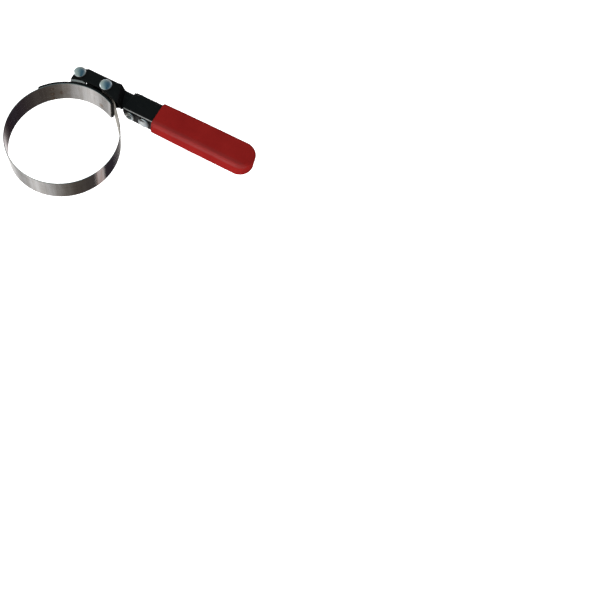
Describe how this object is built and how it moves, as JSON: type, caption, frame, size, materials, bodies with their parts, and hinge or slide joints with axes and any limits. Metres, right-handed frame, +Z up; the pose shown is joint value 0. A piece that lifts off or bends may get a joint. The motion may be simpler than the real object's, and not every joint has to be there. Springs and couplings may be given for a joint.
{
  "type": "band oil filter wrench",
  "caption": "Steel band loop on a riveted pivot lever, with a swivelling channel handle in a dipped vinyl grip, for turning spin-on oil filters.",
  "frame": {"origin": "centre of the bottom face of the bounding box, at rest, lying with the band loop's axis vertical", "axes": "+X along the handle from the band towards the grip's end, +Y away from the band loop on the lever's side, +Z up along the band loop's axis, towards the domed rivet heads"},
  "size_m": [0.1924, 0.1152, 0.0321],
  "materials": {
    "band_steel": "polished spring steel strip with a fine lengthwise grain",
    "black_steel": "satin black finish, worn bright on the bends",
    "zinc": "bright zinc plate with a cool blue tint",
    "vinyl": "dipped red vinyl, satin, slightly uneven"
  },
  "bodies": {
    "loop_root": {"band_fixed": "band_steel", "backing_shoe": "black_steel", "pivot_bracket": "black_steel", "pivot_sleeve": "zinc", "pivot_rivet": "zinc", "pivot_washer": "zinc"},
    "loop_left": {"band_flex_a": "band_steel"},
    "loop_lower": {"band_flex_b": "band_steel"},
    "loop_end": {"band_end": "band_steel"},
    "lever": {"lever_channel": "black_steel", "band_rivet": "zinc", "band_rivet_roller": "zinc", "band_rivet_washer": "zinc"},
    "handle": {"handle_channel": "black_steel", "swivel_rivet": "zinc", "swivel_spacer": "zinc", "swivel_flat_washer": "zinc", "swivel_spring_washer": "zinc", "tie_rivet": "zinc", "tie_spacer": "zinc", "vinyl_grip": "vinyl"}
  },
  "joints": [
    {"name": "lever_pivot", "type": "hinge", "parent": "loop_root", "child": "lever", "pos_m": [-0.06653, 0.04503, 0.01625], "axis": [0, 0, 1], "range_deg": [0, 30]},
    {"name": "handle_swivel", "type": "hinge", "parent": "lever", "child": "handle", "pos_m": [-0.01243, 0.04623, 0.01625], "axis": [0, 1, 0], "range_deg": [0, 90]},
    {"name": "band_flex_left", "type": "hinge", "parent": "loop_root", "child": "loop_left", "pos_m": [-0.09443, 0.00111, 0.01625], "axis": [0, 0, 1], "range_deg": [0, 7.7]},
    {"name": "band_flex_lower", "type": "hinge", "parent": "loop_left", "child": "loop_lower", "pos_m": [-0.07777, -0.0473, 0.01625], "axis": [0, 0, 1], "range_deg": [0, 3.85]},
    {"name": "band_flex_right", "type": "hinge", "parent": "loop_lower", "child": "loop_end", "pos_m": [-0.01179, -0.0392, 0.01625], "axis": [0, 0, 1], "range_deg": [-7.1, 0]}
  ],
  "couplings": [
    {"joint": "band_flex_left", "follows": "lever_pivot", "ratio": 0.25456},
    {"joint": "band_flex_lower", "follows": "lever_pivot", "ratio": 0.12623},
    {"joint": "band_flex_right", "follows": "lever_pivot", "ratio": -0.23515}
  ]
}
